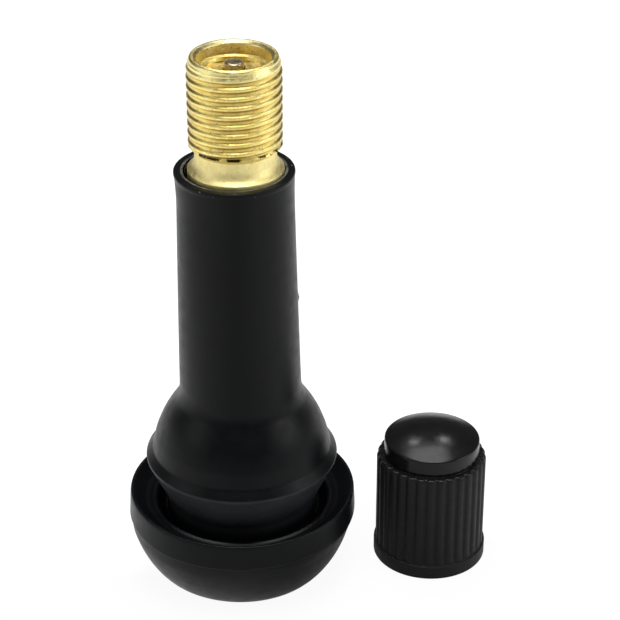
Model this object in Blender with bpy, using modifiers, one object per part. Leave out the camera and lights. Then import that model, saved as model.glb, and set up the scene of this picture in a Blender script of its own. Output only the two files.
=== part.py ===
"""Snap-in tyre valve: a rubber-covered brass stem, its screw-in valve core and the dust cap beside it.

Metres, +Z up. The ground is z = 0, and the origin lies midway across the valve and the cap.
The valve's pieces are turned about the valve's axis, and the cap's about its own.
"""

import math

import bmesh
import bpy
from mathutils import Matrix

MM = 0.001

# Rubber foot, which sits inside the rim: radii from the valve's axis, heights from the ground up
foot_underside_radius = 7.2 * MM
foot_radius = 10.04 * MM
foot_flare_height = 5.4 * MM
foot_flare_steps = 5
parting_edge_height = 0.25 * MM
foot_band_height = 2.3 * MM
foot_band_taper = 0.1 * MM
foot_crest_bevel = 0.25 * MM
foot_crest_width = 0.2 * MM
dish_width = 1.8 * MM
dish_drop = 1.3 * MM

# Groove that grips the rim's hole, and the ridge above it
groove_radius = 6.65 * MM
groove_floor_drop = 0.7 * MM
groove_wall_height = 1.9 * MM
grip_step = 0.15 * MM
grip_rise = 0.15 * MM
ridge_step = 1.6 * MM
ridge_rise = 3.45 * MM
ridge_edge_height = 0.25 * MM
brim_width = 0.5 * MM
brim_rise = 0.65 * MM

# Bulb that narrows to the neck, and the neck's tube. The curve gives shares of the bulb's length, from
# the neck down, and of how far it widens there
bulb_toe_width = 0.22 * MM
bulb_toe_rise = 0.5 * MM
bulb_length = 5.6 * MM
bulb_curve = (
    (0.10, 0.035),
    (0.21, 0.125),
    (0.31, 0.28),
    (0.40, 0.425),
    (0.49, 0.555),
    (0.58, 0.665),
    (0.67, 0.76),
    (0.76, 0.84),
    (0.86, 0.925),
    (1.00, 1.00),
)
neck_wall = 0.79 * MM
neck_taper = 0.375 * MM
neck_length = 17.9 * MM
collar_length = 1.95 * MM
collar_swell = 0.08 * MM
collar_lip = 0.05 * MM
lip_height = 0.45 * MM
lip_bevel = 0.1 * MM
mouth_chamfer = 0.13 * MM
mouth_depth = 0.6 * MM

# Brass stem outside the rubber
flare_radius = 4.0 * MM
flare_stand = 0.2 * MM
flare_height = 1.05 * MM
flare_steps = 4
thread_radius = 3.9 * MM
thread_pitch = 25.4 / 32 * MM
thread_depth = 0.48 * MM
thread_crest = 0.16 * MM
thread_ridges = 9
runout_length = 1.14 * MM
lead_step = 0.2 * MM
lead_length = 0.545 * MM
lead_bevel = 0.2 * MM
lip_width = 0.5 * MM
mouth_bevel = 0.25 * MM
stem_neck_wall = 0.73 * MM

# Brass stem inside the rubber
retention_grooves = 3
retention_pitch = 1.8 * MM
retention_width = 0.9 * MM
retention_depth = 0.35 * MM
retention_start = 12.5 * MM
anchor_width = 0.98 * MM
anchor_height = 2.2 * MM
anchor_start = 3.2 * MM
spigot_inset = 0.02 * MM
spigot_recess = 1.3 * MM
air_bore_radius = 1.6 * MM
air_bore_chamfer = 0.3 * MM
bond_gap = 0.1 * MM

# Core pin: head, spring collar, shaft and the rivet below the sealing cup
fit_gap = 0.1 * MM
pin_depth = 0.55 * MM
pin_radius = 0.8 * MM
pin_bevel = 0.12 * MM
pin_collar_drop = 1.1 * MM
pin_collar_height = 0.5 * MM
pin_shaft_radius = 0.5 * MM
pin_travel = 1.2 * MM
rivet_width = 0.35 * MM
rivet_height = 0.5 * MM

# Core spring, coiled around the pin's shaft
spring_air = 0.6 * MM
spring_wire = 0.3 * MM
spring_room = 0.15 * MM
spring_turns = 6.5
spring_end_pitch = 1.15
points_per_turn = 14

# Core plug, the threaded swivel with a bridge across its top
bridge_depth = 1.2 * MM
bridge_wall = 0.35 * MM
bridge_height = 1.0 * MM
slot_overcut = 0.3 * MM
plug_length = 4.2 * MM
plug_bevel = 0.25 * MM
plug_room = 0.15 * MM
swivel_wall = 0.25 * MM
swivel_catch = 0.25 * MM
swivel_collar_height = 0.45 * MM

# Core barrel and the packing around it
barrel_wall = 0.15 * MM
barrel_lip_height = 0.35 * MM
barrel_skirt_height = 0.5 * MM
barrel_groove_wall = 0.3 * MM
packing_height = 2.4 * MM
packing_shoulder = 0.6 * MM
retainer_height = 0.4 * MM
retainer_air = 0.15 * MM
spring_chamber_depth = 2.8 * MM
tube_air = 0.5 * MM
tube_wall = 0.75 * MM
tube_length = 5.9 * MM

# Sealing cup and its gasket
gasket_inset = 0.05 * MM
gasket_height = 1.0 * MM
gasket_proud = 0.3 * MM
cup_wall = 0.2 * MM
cup_floor = 0.35 * MM

# Bore that takes the core
mouth_depth_inside = 1.2 * MM
mouth_taper = 0.35 * MM
seat_taper = 0.4 * MM
seat_margin = 0.5 * MM
chamber_step = 0.05 * MM
chamber_room = 1.0 * MM
chamber_taper = 0.6 * MM

# Dust cap, which stands on its open end beside the valve
cap_offset_x = 16.9 * MM
cap_offset_y = 0.43 * MM
cap_fit_gap = 0.1 * MM
cap_wall = 0.85 * MM
cap_flange_step = 0.165 * MM
cap_flange_height = 1.22 * MM
cap_flange_bevel = 0.08 * MM
cap_body_height = 9.0 * MM
cap_shoulder = 0.3 * MM
cap_ribs = 32
rib_gap_width = 0.34 * MM
rib_depth = 0.2 * MM
crown_step = 0.63 * MM
crown_gap = 0.15 * MM
crown_undercut = 0.1 * MM
crown_height = 1.42 * MM
crown_dome = 0.96 * MM
crown_steps = 6
cap_roof = 1.6 * MM
cap_seal_width = 0.55 * MM
cap_seal_length = 2.2 * MM
cap_mouth_chamfer = 0.3 * MM

# Facets around each turned piece
valve_segments = 36
core_segments = 32
pin_segments = 24
cap_segments = 2 * cap_ribs

# Radii worked out from the core's pin outwards, so that each piece fits around the last
spring_mean_radius = pin_shaft_radius + spring_air + spring_wire / 2
spring_outer_radius = spring_mean_radius + spring_wire / 2
spring_chamber_radius = spring_outer_radius + spring_room
barrel_groove_radius = spring_chamber_radius + barrel_groove_wall
plug_bore_radius = spring_chamber_radius + plug_room
swivel_neck_radius = plug_bore_radius + swivel_wall
barrel_lip_bore = swivel_neck_radius + fit_gap
swivel_collar_radius = barrel_lip_bore + swivel_catch
barrel_cup_bore = swivel_collar_radius + fit_gap
plug_radius = barrel_cup_bore + barrel_wall
core_bore_radius = plug_radius + fit_gap
seat_radius = core_bore_radius - seat_taper
chamber_radius = seat_radius - chamber_step
retainer_radius = chamber_radius - retainer_air
tube_bore_radius = pin_shaft_radius + tube_air
tube_radius = tube_bore_radius + tube_wall
gasket_radius = tube_radius - gasket_inset
rivet_radius = pin_shaft_radius + rivet_width
pin_hole_radius = pin_radius + fit_gap
bridge_width = 2 * (pin_hole_radius + bridge_wall)

# Radii of the stem and of the rubber around it
thread_root_radius = thread_radius - thread_depth
lead_radius = thread_radius - lead_step
lip_radius = lead_radius - lead_bevel
mouth_radius = lip_radius - lip_width
stem_neck_radius = core_bore_radius + stem_neck_wall
anchor_radius = flare_radius + anchor_width
spigot_radius = flare_radius - spigot_inset
neck_waist_radius = flare_radius + bond_gap + neck_wall
neck_base_radius = neck_waist_radius + neck_taper
collar_radius = neck_waist_radius + collar_swell
grip_radius = groove_radius + grip_step
ridge_radius = grip_radius + ridge_step
brim_radius = ridge_radius - brim_width
bulb_radius = brim_radius - bulb_toe_width
foot_crest_radius = foot_radius - foot_band_taper - foot_crest_bevel / 3
dish_edge_radius = foot_crest_radius - foot_crest_width - dish_width

# Heights of the rubber and the stem, from the ground up
parting_z = foot_flare_height
crest_z = parting_z + foot_band_height
dish_z = crest_z - dish_drop
groove_floor_z = dish_z - groove_floor_drop
groove_top_z = groove_floor_z + groove_wall_height
grip_z = groove_top_z + grip_rise
ridge_z = grip_z + ridge_rise
brim_z = ridge_z + ridge_edge_height + brim_rise
bulb_z = brim_z + bulb_toe_rise
neck_z = bulb_z + bulb_length
waist_z = neck_z + neck_length
rubber_top_z = waist_z + collar_length + lip_height
flare_z = rubber_top_z + flare_stand
stem_neck_z = flare_z + flare_height
last_ridge_z = stem_neck_z + runout_length
first_ridge_z = last_ridge_z + (thread_ridges - 1) * thread_pitch
lead_z = first_ridge_z + thread_pitch - thread_crest / 2
stem_top_z = lead_z + lead_length
anchor_top_z = anchor_start + anchor_height

# Heights of the core, from the stem's lip down
bridge_top_z = stem_top_z - bridge_depth
bridge_under_z = bridge_top_z - bridge_height
plug_end_z = bridge_top_z - plug_length
barrel_top_z = plug_end_z - fit_gap
barrel_lip_z = barrel_top_z - barrel_lip_height
swivel_top_z = barrel_lip_z - fit_gap
swivel_end_z = swivel_top_z - swivel_collar_height
barrel_floor_z = swivel_end_z - fit_gap
barrel_skirt_z = barrel_floor_z - barrel_skirt_height
spring_seat_z = barrel_floor_z - spring_chamber_depth
packing_top_z = barrel_skirt_z - fit_gap
packing_end_z = packing_top_z - packing_height
retainer_z = packing_end_z - fit_gap
tube_top_z = retainer_z - retainer_height
tube_end_z = tube_top_z - tube_length
pin_top_z = stem_top_z - pin_depth
pin_collar_top_z = bridge_under_z - pin_collar_drop
pin_collar_end_z = pin_collar_top_z - pin_collar_height
gasket_top_z = tube_end_z - fit_gap
gasket_end_z = gasket_top_z - gasket_height
cup_rim_z = gasket_top_z - gasket_proud
cup_floor_z = gasket_end_z - fit_gap
cup_end_z = cup_floor_z - cup_floor
rivet_top_z = cup_end_z - fit_gap
rivet_end_z = rivet_top_z - rivet_height
mouth_floor_z = stem_top_z - mouth_depth_inside
seat_top_z = packing_top_z - packing_shoulder
seat_bottom_z = packing_end_z - seat_margin
chamber_z = rivet_end_z - pin_travel - chamber_room

# The cap's radii and heights
cap_bore_radius = thread_radius + cap_fit_gap
cap_radius = cap_bore_radius + cap_wall
cap_flange_radius = cap_radius + cap_flange_step
crown_radius = cap_radius - crown_step
cap_body_z = cap_flange_height + cap_body_height
crown_z = cap_body_z + crown_gap
crown_edge_z = crown_z + crown_height
cap_top_z = crown_edge_z + crown_dome
cap_roof_z = cap_top_z - cap_roof

# Where the two axes stand, so that the origin is midway across the whole
valve_x = (foot_radius - cap_offset_x - cap_flange_radius) / 2
cap_x = valve_x + cap_offset_x


def new_collection(name):
    """A collection linked to the scene."""
    made = bpy.data.collections.new(name)
    bpy.context.scene.collection.children.link(made)
    return made


def new_material(name, colour, roughness, metallic=0.0):
    """A Principled material with one colour, roughness and metallic value."""
    made = bpy.data.materials.new(name)
    made.use_nodes = True
    shader = made.node_tree.nodes["Principled BSDF"]
    shader.inputs["Base Color"].default_value = (*colour, 1.0)
    shader.inputs["Roughness"].default_value = roughness
    shader.inputs["Metallic"].default_value = metallic
    return made


def new_axis(name, x, y, collection):
    """An empty that stands on the ground where a turned piece's axis meets it."""
    empty = bpy.data.objects.new(name, None)
    empty.empty_display_size = 5 * MM
    empty.location = (x, y, 0.0)
    collection.objects.link(empty)
    return empty


def as_plain_mesh(obj):
    """Replaces the object's mesh with its modified shape, shaded smooth with its sharp edges kept."""
    bpy.context.view_layer.update()
    graph = bpy.context.evaluated_depsgraph_get()
    shape = bpy.data.meshes.new_from_object(obj.evaluated_get(graph))
    shape.name = obj.name
    obj.modifiers.clear()
    obj.data = shape
    shape.shade_smooth()
    shape.set_sharp_from_angle(angle=math.radians(32))


def turned(name, outline, axis, material, collection, segments):
    """A turned piece. Its outline runs down the outer side and up the bore, or ends on the axis."""
    solid = outline[0][0] == 0.0
    links = [(i, i + 1) for i in range(len(outline) - 1)]
    if not solid:
        links.append((len(outline) - 1, 0))
    profile = bpy.data.meshes.new(name)
    profile.from_pydata([(r, 0.0, z) for r, z in outline], links, [])
    obj = bpy.data.objects.new(name, profile)
    collection.objects.link(obj)
    obj.parent = axis
    profile.materials.append(material)
    screw = obj.modifiers.new("Turn", "SCREW")
    screw.steps = segments
    screw.render_steps = segments
    screw.use_merge_vertices = True
    screw.merge_threshold = 0.000001
    screw.use_smooth_shade = True
    return obj


def cutter(name, mesh, axis, collection):
    """A shape that is cut out of others and isn't part of the valve."""
    obj = bpy.data.objects.new(name, mesh)
    collection.objects.link(obj)
    obj.parent = axis
    obj.hide_render = True
    obj.display_type = "WIRE"
    return obj


def cut(obj, tool):
    """Takes the tool's shape out of the object."""
    boolean = obj.modifiers.new("Cut " + tool.name, "BOOLEAN")
    boolean.operation = "DIFFERENCE"
    boolean.solver = "EXACT"
    boolean.object = tool


def box_in(bm, size, centre, turn=0.0):
    """Adds a box to the mesh being built, turned about the axis by an angle in radians."""
    place = Matrix.Rotation(turn, 4, "Z") @ Matrix.Translation(centre) @ Matrix.Diagonal((*size, 1.0))
    bmesh.ops.create_cube(bm, size=1.0, matrix=place)


def finished_mesh(name, bm):
    """The mesh built so far, as mesh data."""
    mesh = bpy.data.meshes.new(name)
    bm.to_mesh(mesh)
    bm.free()
    return mesh


def stem_in_rubber():
    """The stem's outer side from the rubber's top down to the stem's end, with its retention grooves."""
    points = [(flare_radius, flare_z)]
    slope = retention_depth
    for i in reversed(range(retention_grooves)):
        low = retention_start + i * retention_pitch
        high = low + retention_width
        points.append((flare_radius, high + slope / 2))
        points.append((flare_radius - retention_depth, high - slope / 2))
        points.append((flare_radius - retention_depth, low + slope / 2))
        points.append((flare_radius, low - slope / 2))
    points.append((flare_radius, anchor_top_z + anchor_radius - flare_radius))
    points.append((anchor_radius, anchor_top_z))
    points.append((anchor_radius, anchor_start))
    points.append((spigot_radius, anchor_start - (anchor_radius - spigot_radius)))
    points.append((spigot_radius, spigot_recess))
    return points


def rubber_outline():
    """The rubber's outer side from its top lip to its foot, and the bore moulded around the stem."""
    points = [
        (collar_radius - lip_bevel, rubber_top_z),
        (collar_radius + collar_lip, rubber_top_z - lip_bevel),
        (collar_radius + collar_lip, rubber_top_z - lip_height / 2),
        (collar_radius, rubber_top_z - lip_height),
        (neck_waist_radius, waist_z),
        (neck_base_radius, neck_z),
    ]
    for drop, spread in bulb_curve:
        radius = neck_base_radius + (bulb_radius - neck_base_radius) * spread
        points.append((radius, neck_z - bulb_length * drop))
    points += [
        (brim_radius, brim_z),
        (ridge_radius, ridge_z + ridge_edge_height),
        (ridge_radius, ridge_z),
        (grip_radius, grip_z),
        (groove_radius, groove_top_z),
        (groove_radius, groove_floor_z),
        (dish_edge_radius, dish_z),
        (foot_crest_radius - foot_crest_width, crest_z),
        (foot_crest_radius, crest_z),
        (foot_crest_radius + foot_crest_bevel / 3, crest_z - foot_crest_bevel),
        (foot_radius, parting_z + parting_edge_height),
        (foot_radius, parting_z),
    ]
    points += foot_flare()
    bore = [(r + bond_gap, z) for r, z in reversed(stem_in_rubber())]
    bore[0] = (spigot_radius + bond_gap, 0.0)
    bore[-1] = (flare_radius + bond_gap, rubber_top_z - mouth_depth)
    bore.append((flare_radius + bond_gap + mouth_chamfer, rubber_top_z))
    return points + bore


def foot_flare():
    """The foot's underside: it swells from the flat that stands on the ground to the parting edge."""
    points = []
    spread = foot_radius - foot_underside_radius
    for i in range(1, foot_flare_steps + 1):
        share = 1 - i / foot_flare_steps
        swell = (math.sqrt(share) + 1 - (1 - share) ** 2) / 2
        points.append((foot_underside_radius + spread * swell, foot_flare_height * share))
    return points


def stem_outline():
    """The stem's outer side from its lip down, with the thread as turned ridges, and its stepped bore."""
    points = [
        (mouth_radius, stem_top_z - mouth_bevel),
        (mouth_radius + mouth_bevel, stem_top_z),
        (lip_radius, stem_top_z),
        (lead_radius, stem_top_z - lead_bevel),
        (lead_radius, lead_z),
    ]
    for i in range(thread_ridges):
        middle = first_ridge_z - i * thread_pitch
        points.append((thread_root_radius, middle + thread_pitch / 2))
        points.append((thread_radius, middle + thread_crest / 2))
        points.append((thread_radius, middle - thread_crest / 2))
    points.append((thread_root_radius, last_ridge_z - thread_pitch / 2))
    for i in range(flare_steps):
        share = i / flare_steps
        widen = 1 - math.cos(share * math.pi / 2)
        radius = stem_neck_radius + (flare_radius - stem_neck_radius) * widen
        points.append((radius, stem_neck_z - flare_height * share))
    points += stem_in_rubber()
    points += [
        (air_bore_radius + air_bore_chamfer, spigot_recess),
        (air_bore_radius, spigot_recess + air_bore_chamfer),
        (air_bore_radius, chamber_z - chamber_taper),
        (chamber_radius, chamber_z),
        (chamber_radius, seat_bottom_z - chamber_step),
        (seat_radius, seat_bottom_z),
        (core_bore_radius, seat_top_z),
        (core_bore_radius, mouth_floor_z - mouth_taper),
        (mouth_radius, mouth_floor_z),
    ]
    return points


def plug_outline():
    """The plug before its slots are cut: bridge and thread outside, bore and swivel collar below."""
    return [
        (pin_hole_radius, bridge_top_z),
        (plug_radius - plug_bevel, bridge_top_z),
        (plug_radius, bridge_top_z - plug_bevel),
        (plug_radius, plug_end_z + plug_bevel),
        (plug_radius - plug_bevel, plug_end_z),
        (swivel_neck_radius, plug_end_z),
        (swivel_neck_radius, swivel_top_z),
        (swivel_collar_radius, swivel_top_z),
        (swivel_collar_radius, swivel_end_z),
        (plug_bore_radius, swivel_end_z),
        (plug_bore_radius, bridge_under_z),
        (pin_hole_radius, bridge_under_z),
    ]


def plug_slots(axis, collection):
    """The two slots that leave the bridge standing across the plug's top."""
    bm = bmesh.new()
    reach = 2 * core_bore_radius
    for side in (-1, 1):
        centre_y = side * (bridge_width / 2 + reach / 2)
        centre_z = bridge_under_z - slot_overcut + reach / 2
        box_in(bm, (2 * reach, reach, reach), (0.0, centre_y, centre_z))
    return cutter("plug_slots", finished_mesh("plug_slots", bm), axis, collection)


def barrel_outline():
    """The barrel: a cup crimped over the swivel collar, a groove for the packing and a tube."""
    return [
        (barrel_lip_bore, barrel_top_z),
        (plug_radius, barrel_top_z),
        (plug_radius, barrel_skirt_z),
        (barrel_groove_radius, barrel_skirt_z),
        (barrel_groove_radius, retainer_z),
        (retainer_radius, retainer_z),
        (retainer_radius, tube_top_z),
        (tube_radius, tube_top_z),
        (tube_radius, tube_end_z),
        (tube_bore_radius, tube_end_z),
        (tube_bore_radius, spring_seat_z),
        (spring_chamber_radius, spring_seat_z),
        (spring_chamber_radius, barrel_floor_z),
        (barrel_cup_bore, barrel_floor_z),
        (barrel_cup_bore, barrel_lip_z),
        (barrel_lip_bore, barrel_lip_z),
    ]


def packing_outline():
    """The packing ring, tapered like the seat that it seals against."""
    slope = seat_taper / (seat_top_z - seat_bottom_z)
    low_radius = seat_radius + slope * (packing_end_z - seat_bottom_z) - fit_gap
    bore = barrel_groove_radius + fit_gap
    return [
        (bore, packing_top_z),
        (plug_radius, packing_top_z),
        (plug_radius, seat_top_z),
        (low_radius, packing_end_z),
        (bore, packing_end_z),
    ]


def pin_outline():
    """The pin from its head to the rivet that holds the sealing cup, as a solid turned about its axis."""
    return [
        (0.0, pin_top_z),
        (pin_radius - pin_bevel, pin_top_z),
        (pin_radius, pin_top_z - pin_bevel),
        (pin_radius, pin_collar_top_z),
        (spring_outer_radius, pin_collar_top_z),
        (spring_outer_radius, pin_collar_end_z),
        (pin_shaft_radius, pin_collar_end_z),
        (pin_shaft_radius, rivet_top_z),
        (rivet_radius, rivet_top_z),
        (rivet_radius, rivet_end_z),
        (0.0, rivet_end_z),
    ]


def cup_outline():
    """The sealing cup, open towards the barrel and held on the pin's shaft."""
    hole = pin_shaft_radius + fit_gap
    bore = gasket_radius + fit_gap
    return [
        (bore, cup_rim_z),
        (bore + cup_wall, cup_rim_z),
        (bore + cup_wall, cup_end_z),
        (hole, cup_end_z),
        (hole, cup_floor_z),
        (bore, cup_floor_z),
    ]


def gasket_outline():
    """The soft washer in the cup, which stands proud of its rim to meet the barrel's end."""
    hole = pin_shaft_radius + fit_gap
    bevel = gasket_proud / 2
    return [
        (hole, gasket_top_z),
        (gasket_radius - bevel, gasket_top_z),
        (gasket_radius, gasket_top_z - bevel),
        (gasket_radius, gasket_end_z),
        (hole, gasket_end_z),
    ]


def spring(axis, material, collection):
    """The core's coil spring, with a closed turn at each end, between barrel and pin collar."""
    bottom = spring_seat_z + fit_gap + spring_wire / 2
    top = pin_collar_end_z - fit_gap - spring_wire / 2
    end_rise = spring_wire * spring_end_pitch
    open_pitch = (top - bottom - 2 * end_rise) / (spring_turns - 2)
    count = round(spring_turns * points_per_turn)
    curve = bpy.data.curves.new("core_spring", "CURVE")
    curve.dimensions = "3D"
    curve.bevel_depth = spring_wire / 2
    curve.bevel_resolution = 2
    curve.use_fill_caps = True
    line = curve.splines.new("POLY")
    line.points.add(count)
    for i in range(count + 1):
        turn = spring_turns * i / count
        rise = min(turn, 1.0) * end_rise
        rise += min(max(turn - 1.0, 0.0), spring_turns - 2.0) * open_pitch
        rise += max(turn - spring_turns + 1.0, 0.0) * end_rise
        angle = 2 * math.pi * turn
        x = spring_mean_radius * math.cos(angle)
        y = spring_mean_radius * math.sin(angle)
        line.points[i].co = (x, y, bottom + rise, 1.0)
    obj = bpy.data.objects.new("core_spring", curve)
    collection.objects.link(obj)
    obj.parent = axis
    curve.materials.append(material)
    return obj


def cap_outline():
    """The cap before its ribs are cut: flange, body, crown and dome outside, bore and seal step inside."""
    points = []
    for i in range(crown_steps + 1):
        share = i / crown_steps
        points.append((crown_radius * share, crown_edge_z + crown_dome * (1 - share**2)))
    points += [
        (crown_radius, crown_z + crown_undercut),
        (crown_radius - crown_undercut, crown_z),
        (crown_radius - crown_undercut, cap_body_z),
        (cap_radius - cap_shoulder, cap_body_z),
        (cap_radius, cap_body_z - cap_shoulder),
        (cap_radius, cap_flange_height),
        (cap_flange_radius - cap_flange_bevel, cap_flange_height),
        (cap_flange_radius, cap_flange_height - cap_flange_bevel),
        (cap_flange_radius, 0.0),
        (cap_bore_radius + cap_mouth_chamfer, 0.0),
        (cap_bore_radius, cap_mouth_chamfer),
        (cap_bore_radius, cap_roof_z - cap_seal_length),
        (cap_bore_radius - cap_seal_width, cap_roof_z - cap_seal_length),
        (cap_bore_radius - cap_seal_width, cap_roof_z),
        (0.0, cap_roof_z),
    ]
    return points


def rib_gaps(axis, collection):
    """The narrow flutes between the ribs, from the flange's top to past the shoulder."""
    bm = bmesh.new()
    outside = 2 * rib_depth
    size = (rib_depth + outside, rib_gap_width, cap_body_height + crown_gap / 2)
    centre = (cap_radius - rib_depth + size[0] / 2, 0.0, cap_flange_height + size[2] / 2)
    for i in range(cap_ribs):
        box_in(bm, size, centre, 2 * math.pi * i / cap_ribs)
    return cutter("rib_gaps", finished_mesh("rib_gaps", bm), axis, collection)


def build_valve(collection, cutters):
    """The rubber body, the stem and every piece of the core, about one axis."""
    rubber = new_material("black_rubber", (0.016, 0.016, 0.018), 0.42)
    brass = new_material("stem_brass", (0.72, 0.60, 0.26), 0.3, 1.0)
    core_brass = new_material("core_brass", (0.66, 0.47, 0.18), 0.32, 1.0)
    steel = new_material("pin_steel", (0.34, 0.32, 0.32), 0.35, 1.0)
    spring_steel = new_material("spring_steel", (0.45, 0.45, 0.44), 0.3, 1.0)
    seal = new_material("core_seal", (0.05, 0.012, 0.01), 0.5)
    axis = new_axis("valve_axis", valve_x, 0.0, collection)
    turned("rubber_body", rubber_outline(), axis, rubber, collection, valve_segments)
    turned("brass_stem", stem_outline(), axis, brass, collection, valve_segments)
    plug = turned("core_plug", plug_outline(), axis, core_brass, collection, core_segments)
    cut(plug, plug_slots(axis, cutters))
    turned("core_barrel", barrel_outline(), axis, core_brass, collection, core_segments)
    turned("core_packing", packing_outline(), axis, seal, collection, core_segments)
    turned("core_pin", pin_outline(), axis, steel, collection, pin_segments)
    turned("pin_cup", cup_outline(), axis, core_brass, collection, core_segments)
    turned("seat_gasket", gasket_outline(), axis, seal, collection, core_segments)
    spring(axis, spring_steel, collection)


def build_cap(collection, cutters):
    """The ribbed dust cap about its own axis."""
    plastic = new_material("cap_plastic", (0.022, 0.022, 0.022), 0.4)
    axis = new_axis("cap_axis", cap_x, cap_offset_y, collection)
    cap = turned("cap", cap_outline(), axis, plastic, collection, cap_segments)
    cut(cap, rib_gaps(axis, cutters))


def main():
    """Builds the whole valve in an empty scene."""
    for obj in list(bpy.data.objects):
        bpy.data.objects.remove(obj, do_unlink=True)
    collection = new_collection("tyre_valve")
    cutters = new_collection("cutters")
    build_valve(collection, cutters)
    build_cap(collection, cutters)
    for obj in list(collection.objects):
        if obj.type == "MESH":
            as_plain_mesh(obj)


main()
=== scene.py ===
"""Looks of a snap-in tyre valve and its dust cap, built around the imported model.

The frame is in metres, +Z up. Outlines are written in millimetres, as radius and height, and
turn into metres when a mesh is made. Every mesh lies where its piece rests, so a finish places its
marks by height and by the distance from an axis, and they stay on the piece when it moves.
"""

import math

import bmesh
import bpy
import numpy as np
from mathutils import Matrix, Vector


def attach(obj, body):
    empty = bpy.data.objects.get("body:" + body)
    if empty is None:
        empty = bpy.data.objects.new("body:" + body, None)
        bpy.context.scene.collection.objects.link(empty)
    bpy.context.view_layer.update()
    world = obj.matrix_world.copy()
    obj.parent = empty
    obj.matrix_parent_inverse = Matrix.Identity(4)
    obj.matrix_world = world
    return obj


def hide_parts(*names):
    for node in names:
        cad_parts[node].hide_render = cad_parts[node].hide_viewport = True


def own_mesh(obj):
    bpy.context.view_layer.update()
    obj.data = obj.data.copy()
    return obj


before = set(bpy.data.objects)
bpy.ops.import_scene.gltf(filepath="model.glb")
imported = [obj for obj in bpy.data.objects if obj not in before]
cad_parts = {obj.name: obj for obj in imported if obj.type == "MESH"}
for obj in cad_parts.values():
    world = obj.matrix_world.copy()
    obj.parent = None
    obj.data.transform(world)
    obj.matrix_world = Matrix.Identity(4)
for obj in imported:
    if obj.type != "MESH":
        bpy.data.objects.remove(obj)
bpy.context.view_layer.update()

MM = 0.001

# Where the axes of the valve and the cap meet the ground
valve_axis = (-5.9375, 0.0)
cap_axis = (10.9625, 0.43)

# The camera, read from the photograph: its place, aim and lens
camera_place = (-5.9375, -153.0, 109.75)
camera_pitch = 28.92
camera_yaw = 2.27
camera_roll = -0.035
camera_sensor = 36.0
camera_lens = 119.36
camera_clip = 10

# Meshes: points this close are merged, and edges sharper than this angle stay crisp. A rounded corner
# has this many points and takes this share of the shorter stretch beside it. The front of a thread,
# where its crest is placed, lies this share of a turn from its first column. Rows within the margin
# of a height count as standing at it
merge_distance = 0.0002
crisp_angle = 38
corner_steps = 5
corner_room = 0.48
front_turn = 0.75
row_margin = 0.01

# Stem: the mouth, the outer thread, the neck and the flare
stem_top = 48.499
mouth_radius = 3.0
mouth_bevel = 0.25
lip_radius = 3.5
lead_radius = 3.66
thread_radius = 3.9
thread_root = 3.73
thread_pitch = 25.4 / 32
thread_crest_front = 47.72
thread_top = 48.16
thread_bottom = 40.42
stem_neck_radius = 3.38
stem_neck_bottom = 39.8
flare_radius = 4.0
flare_bottom = 38.7
spigot_radius = 3.98
anchor_radius = 4.98
retention_root = 3.65
stem_columns = 168
lead_drop = 0.17
lead_taper = 0.02
flare_edge = 0.12
flare_curve = ((3.66, 38.98, 0.35), (3.44, 39.42, 0.35))

# Outer thread: the radius of its blank by height, and where the thread starts and ends
blank_heights = (thread_bottom, 40.72, 40.84, 47.1, 47.6, 47.92, thread_top)
blank_radii = (stem_neck_radius, 3.66, 3.88, thread_radius, 3.86, 3.79, lead_radius)
thread_start = 40.75
thread_start_fade = 0.5
thread_end = thread_top - 0.12
thread_end_fade = 0.3

# Sections of the threads: share of the pitch and share of the depth, where 0 is the crest
outer_thread_profile = [
    (0.00, 0.0),
    (0.09, 0.0),
    (0.12, 0.03),
    (0.155, 0.13),
    (0.22, 0.42),
    (0.29, 0.72),
    (0.335, 0.90),
    (0.38, 0.98),
    (0.43, 1.0),
    (0.57, 1.0),
    (0.62, 0.98),
    (0.665, 0.90),
    (0.71, 0.72),
    (0.78, 0.42),
    (0.845, 0.13),
    (0.88, 0.03),
    (0.91, 0.0),
]
core_thread_profile = [
    (0.00, 0.0),
    (0.08, 0.04),
    (0.14, 0.14),
    (0.28, 0.52),
    (0.42, 0.90),
    (0.50, 1.0),
    (0.58, 0.90),
    (0.72, 0.52),
    (0.86, 0.14),
    (0.92, 0.04),
]

# Shade in the groove of a thread, which grows upwards from a start and over a span, as shares of the
# pitch
shade_start = 0.0864
shade_span = 0.72

# Stem inside the rubber: the grooves that hold it there, with half their height at the mouth and at
# the floor, the anchor and the spigot
retention_centres = (16.55, 14.75, 12.95)
retention_mouth = 0.625
retention_floor = 0.275
anchor_cone_top = 6.38
anchor_top = 5.4
anchor_bottom = 3.2
spigot_top = 2.2
spigot_bottom = 1.3

# Bore of the stem, from the mouth down to the air passage, and the core thread in it
mouth_floor = 47.3
mouth_floor_slope = 0.03
bore_radius = 2.65
bore_lead = 0.12
bore_land = 0.1
core_pitch = 25.4 / 36
bore_thread_depth = 0.24
bore_thread_top = 46.85
bore_thread_bottom = 41.3
bore_thread_fade = 0.4
seat_cone_top = 40.799
seat_cone_bottom = 38.499
seat_cone_end = 2.25
chamber_radius = 2.2
chamber_bottom = 28.249
passage_radius = 1.6
passage_top = 27.649
passage_bevel = 0.3

# Core: the plug, with the bridge and the slots in its top and the swivel below its thread
plug_radius = 2.55
plug_root = 2.25
plug_top = 47.299
plug_bottom = 43.099
plug_thread_top = plug_top - 0.3
plug_thread_bottom = plug_bottom + 0.2
plug_thread_fade = 0.35
plug_top_bevel = 0.25
plug_end_bevel = 0.2
plug_columns = 96
pin_hole = 0.9
plug_room = 1.7
swivel_radius = 1.95
swivel_collar_radius = 2.3
swivel_collar_top = 42.549
swivel_bottom = 42.099
bridge_under = 46.299
bridge_half_width = 1.25
slot_bottom = bridge_under - 0.3
slot_cutter = (12.0, 6.0, 6.0)

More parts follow.
